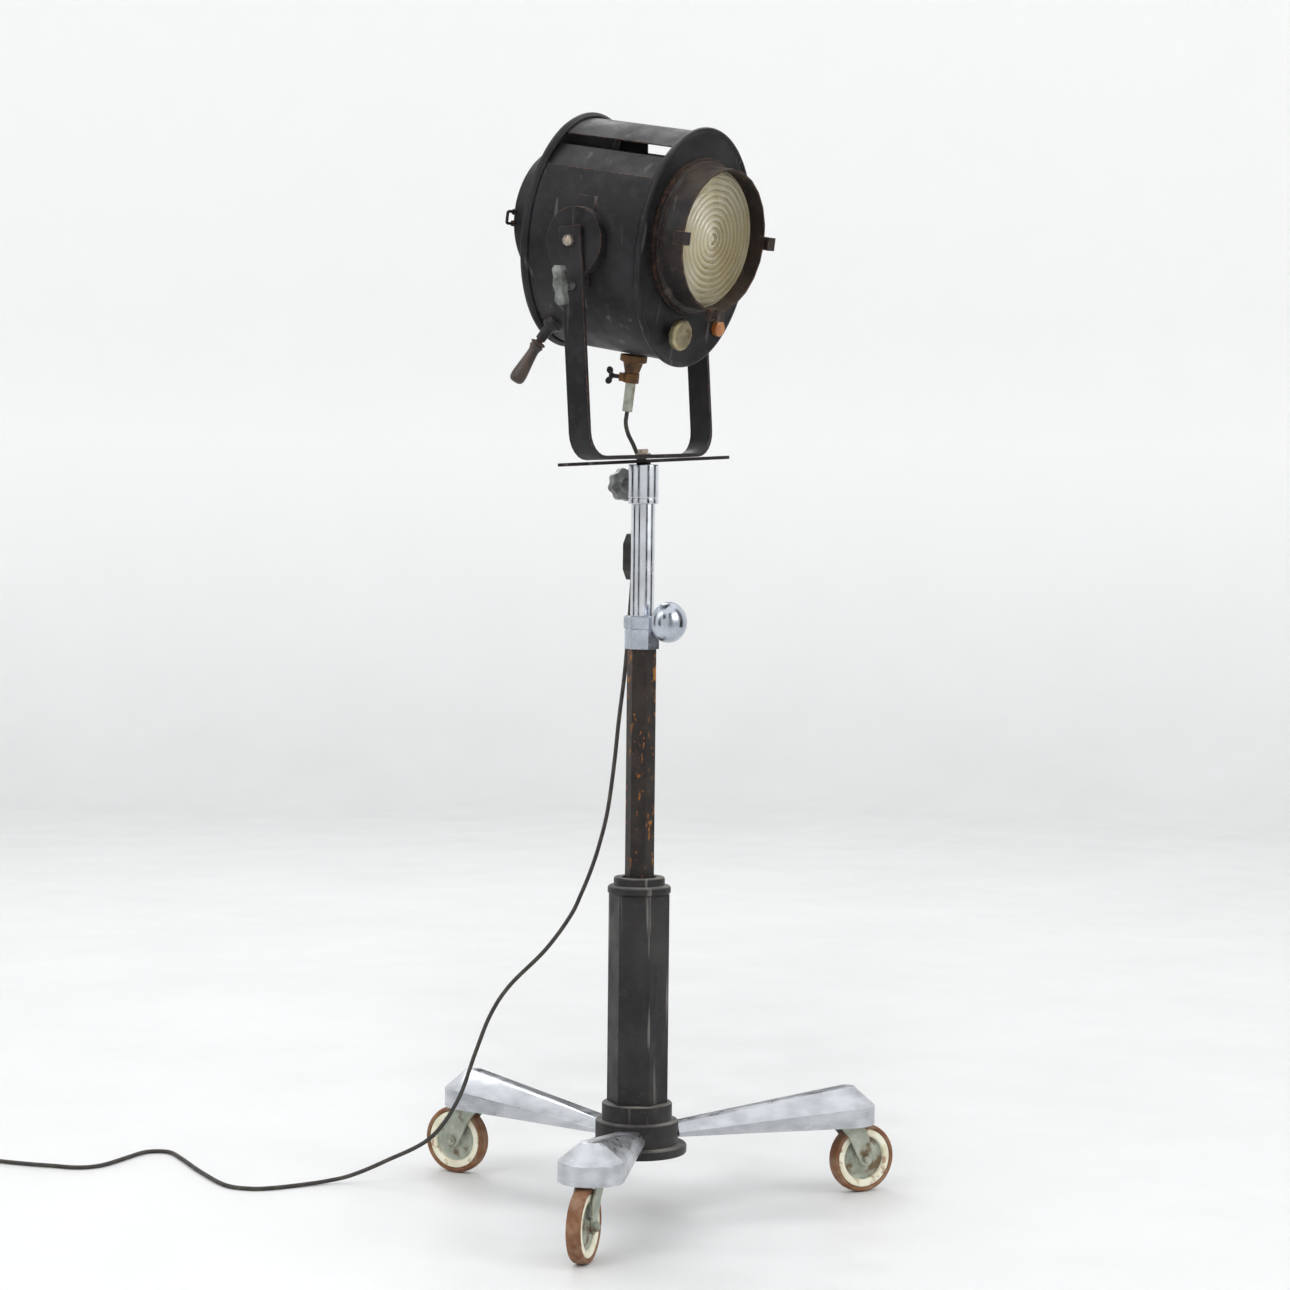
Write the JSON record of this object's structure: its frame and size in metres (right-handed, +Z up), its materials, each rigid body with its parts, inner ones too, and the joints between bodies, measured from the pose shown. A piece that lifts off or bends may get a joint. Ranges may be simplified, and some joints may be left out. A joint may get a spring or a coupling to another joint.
{
  "type": "lighting stand",
  "caption": "Wheeled telescopic lighting stand with a yoke-mounted Fresnel spotlight, tripod base on swivel castors, clamp knobs and a trailing mains cord.",
  "frame": {"origin": "on the floor, in the middle of the footprint of the stand and its lamp, without the free cord", "axes": "+Z up the column; the lamp looks towards -Y, a little to the side and down; +X is its far side"},
  "size_m": [0.6985, 1.3331, 1.5384],
  "materials": {
    "paint": "aged matt black paint, scuffed",
    "column_paint": "satin charcoal paint",
    "flaked_paint": "black paint flaking off a rusty primer",
    "chrome": "pitted chrome plate",
    "cast": "polished cast aluminium",
    "zinc": "zinc plate, worn and stained",
    "brass": "tarnished brass",
    "nickel": "tarnished nickel plate",
    "amber": "amber indicator cap",
    "lens": "aged pressed glass",
    "bulb": "frosted glass",
    "mirror": "polished reflector",
    "wood": "dark turned wood",
    "tyre": "brown rubber, dusty",
    "wheel": "cream paint, rusty at the hub",
    "plastic": "black moulded plastic",
    "rocker": "dark red moulded plastic",
    "cord": "dull black rubber sheath"
  },
  "bodies": {
    "base": {"hub": "column_paint", "leg_front": "cast", "leg_right": "cast", "leg_left": "cast", "base_column": "column_paint", "column_cap": "column_paint", "hex_tube": "flaked_paint", "clamp_collar": "chrome", "cord_main": "cord", "cord_coil": "cord", "plug": "plastic"},
    "castor_front": {"castor_fork_front": "zinc", "axle_bolt_front": "zinc"},
    "wheel_front": {"wheel_centre_front": "wheel", "tyre_front": "tyre"},
    "castor_right": {"castor_fork_right": "zinc", "axle_bolt_right": "zinc"},
    "wheel_right": {"wheel_centre_right": "wheel", "tyre_right": "tyre"},
    "castor_left": {"castor_fork_left": "zinc", "axle_bolt_left": "zinc"},
    "wheel_left": {"wheel_centre_left": "wheel", "tyre_left": "tyre"},
    "height_knob": {"height_knob": "chrome"},
    "mast": {"mast_tube": "chrome", "top_collar": "chrome", "switch_body": "plastic", "cord_neck": "cord"},
    "star_knob": {"star_knob": "zinc"},
    "yoke": {"cross_bar": "paint", "yoke": "paint", "yoke_bolt": "zinc", "brake_shoe": "paint", "cord_head": "cord"},
    "tilt_handle": {"tilt_handle": "cast"},
    "head": {"drum_shell": "paint", "vent_cover": "paint", "vent_roof": "paint", "front_plate": "paint", "rear_plate": "paint", "snout": "paint", "lens": "lens", "pivot_plate_near": "paint", "pivot_bolt_near": "brass", "pivot_plate_far": "paint", "pivot_bolt_far": "brass", "handle_bracket": "paint", "handle_grip": "wood", "cord_gland": "brass", "cord_tube": "zinc", "cord_clamp": "brass", "guide_cap": "amber"},
    "wing_screw": {"wing_screw": "paint"},
    "rear_door": {"rear_door": "paint"},
    "door_latch": {"door_latch": "paint"},
    "focus": {"focus_knob": "nickel", "lamp_carriage": "cast", "bulb": "bulb", "reflector": "mirror"},
    "switch_rocker": {"switch_rocker": "rocker"}
  },
  "joints": [
    {"name": "height_slide", "type": "slide", "parent": "base", "child": "mast", "axis": [0, 0, 1], "range_m": [-0.15, 0.4], "deforming": ["cord_main"]},
    {"name": "pan", "type": "hinge", "parent": "mast", "child": "yoke", "pos_m": [0.02598, -0.07504, 1.03], "axis": [0, 0, 1], "range_deg": [-170, 170], "deforming": ["cord_neck"]},
    {"name": "tilt", "type": "hinge", "parent": "yoke", "child": "head", "pos_m": [0.01686, -0.06073, 1.35203], "axis": [0.9976, -0.0603, 0.0328], "range_deg": [-40, 45], "deforming": ["cord_head"]},
    {"name": "castor_swivel_front", "type": "hinge", "parent": "base", "child": "castor_front", "pos_m": [-0.26763, -0.19188, 0.115], "axis": [0, 0, 1], "continuous": true},
    {"name": "wheel_spin_front", "type": "hinge", "parent": "castor_front", "child": "wheel_front", "pos_m": [-0.29644, -0.20025, 0.0495], "axis": [0.279, -0.9603, 0], "continuous": true},
    {"name": "castor_swivel_right", "type": "hinge", "parent": "base", "child": "castor_right", "pos_m": [0.27397, -0.27089, 0.115], "axis": [0, 0, 1], "continuous": true},
    {"name": "wheel_spin_right", "type": "hinge", "parent": "castor_right", "child": "wheel_right", "pos_m": [0.29992, -0.28593, 0.0495], "axis": [0.5015, 0.8652, 0], "continuous": true},
    {"name": "castor_swivel_left", "type": "hinge", "parent": "base", "child": "castor_left", "pos_m": [0.0716, 0.23765, 0.115], "axis": [0, 0, 1], "continuous": true},
    {"name": "wheel_spin_left", "type": "hinge", "parent": "castor_left", "child": "wheel_left", "pos_m": [0.06961, 0.26758, 0.0495], "axis": [-0.9978, -0.0663, 0], "continuous": true},
    {"name": "height_knob_turn", "type": "hinge", "parent": "base", "child": "height_knob", "pos_m": [0.01561, -0.126, 0.827], "axis": [-0.1994, -0.9799, 0], "range_deg": [-180, 180]},
    {"name": "star_knob_turn", "type": "hinge", "parent": "mast", "child": "star_knob", "pos_m": [0.05237, -0.03024, 1.018], "axis": [0.5075, 0.8616, 0], "range_deg": [-180, 180]},
    {"name": "tilt_handle_turn", "type": "hinge", "parent": "yoke", "child": "tilt_handle", "pos_m": [-0.13095, -0.05456, 1.2862], "axis": [-0.9976, 0.0603, -0.0328], "range_deg": [-180, 180]},
    {"name": "wing_screw_turn", "type": "hinge", "parent": "head", "child": "wing_screw", "pos_m": [0.0098, -0.03044, 1.17022], "axis": [-0.4828, 0.8673, 0.1212], "range_deg": [-180, 180]},
    {"name": "door_hinge", "type": "hinge", "parent": "head", "child": "rear_door", "pos_m": [0.12835, 0.02447, 1.39507], "axis": [0.0422, 0.1613, -0.986], "range_deg": [0, 105]},
    {"name": "latch_hinge", "type": "hinge", "parent": "rear_door", "child": "door_latch", "pos_m": [-0.07694, 0.07258, 1.38604], "axis": [-0.0422, -0.1613, 0.986], "range_deg": [0, 50]},
    {"name": "focus_slide", "type": "slide", "parent": "head", "child": "focus", "axis": [-0.0541, -0.9851, -0.1634], "range_m": [-0.007, 0.05]},
    {"name": "switch_rock", "type": "hinge", "parent": "mast", "child": "switch_rocker", "pos_m": [0.05012, -0.03706, 0.9165], "axis": [-0.9816, 0.1908, 0], "range_deg": [0, 7]}
  ]
}
